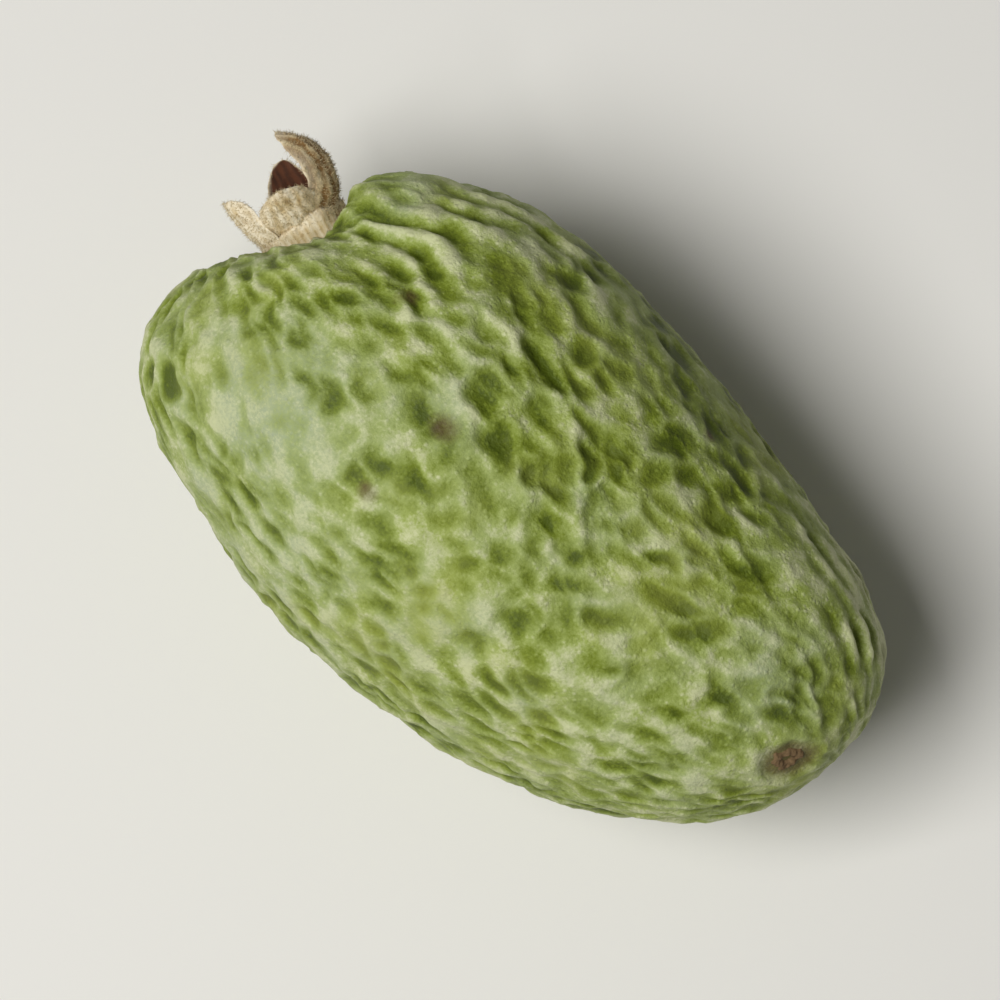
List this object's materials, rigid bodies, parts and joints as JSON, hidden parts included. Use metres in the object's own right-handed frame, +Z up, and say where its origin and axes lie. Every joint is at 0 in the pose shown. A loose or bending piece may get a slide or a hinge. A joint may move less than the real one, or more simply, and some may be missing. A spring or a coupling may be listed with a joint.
{
  "type": "feijoa",
  "caption": "Whole oblong green fruit with a pitted, net-ridged skin, lying on its side, with a crown of dry sepals on a short collar at its blossom end.",
  "frame": {"origin": "middle of the bottom of the whole fruit's box, on the surface that it lies on", "axes": "+X along the fruit towards the crown of sepals, +Z up from the surface that it lies on"},
  "size_m": [0.0636, 0.0368, 0.0366],
  "materials": {
    "skin": "waxy green fruit skin with a pale grey-green bloom on its ridges and darker pits",
    "dry_sepal": "dry felted sepal, tan and pale outside, red-brown inside",
    "dry_style": "dry dark brown stub"
  },
  "bodies": {
    "root": {"fruit": "skin", "calyx": "dry_sepal", "style": "dry_style"}
  },
  "joints": []
}
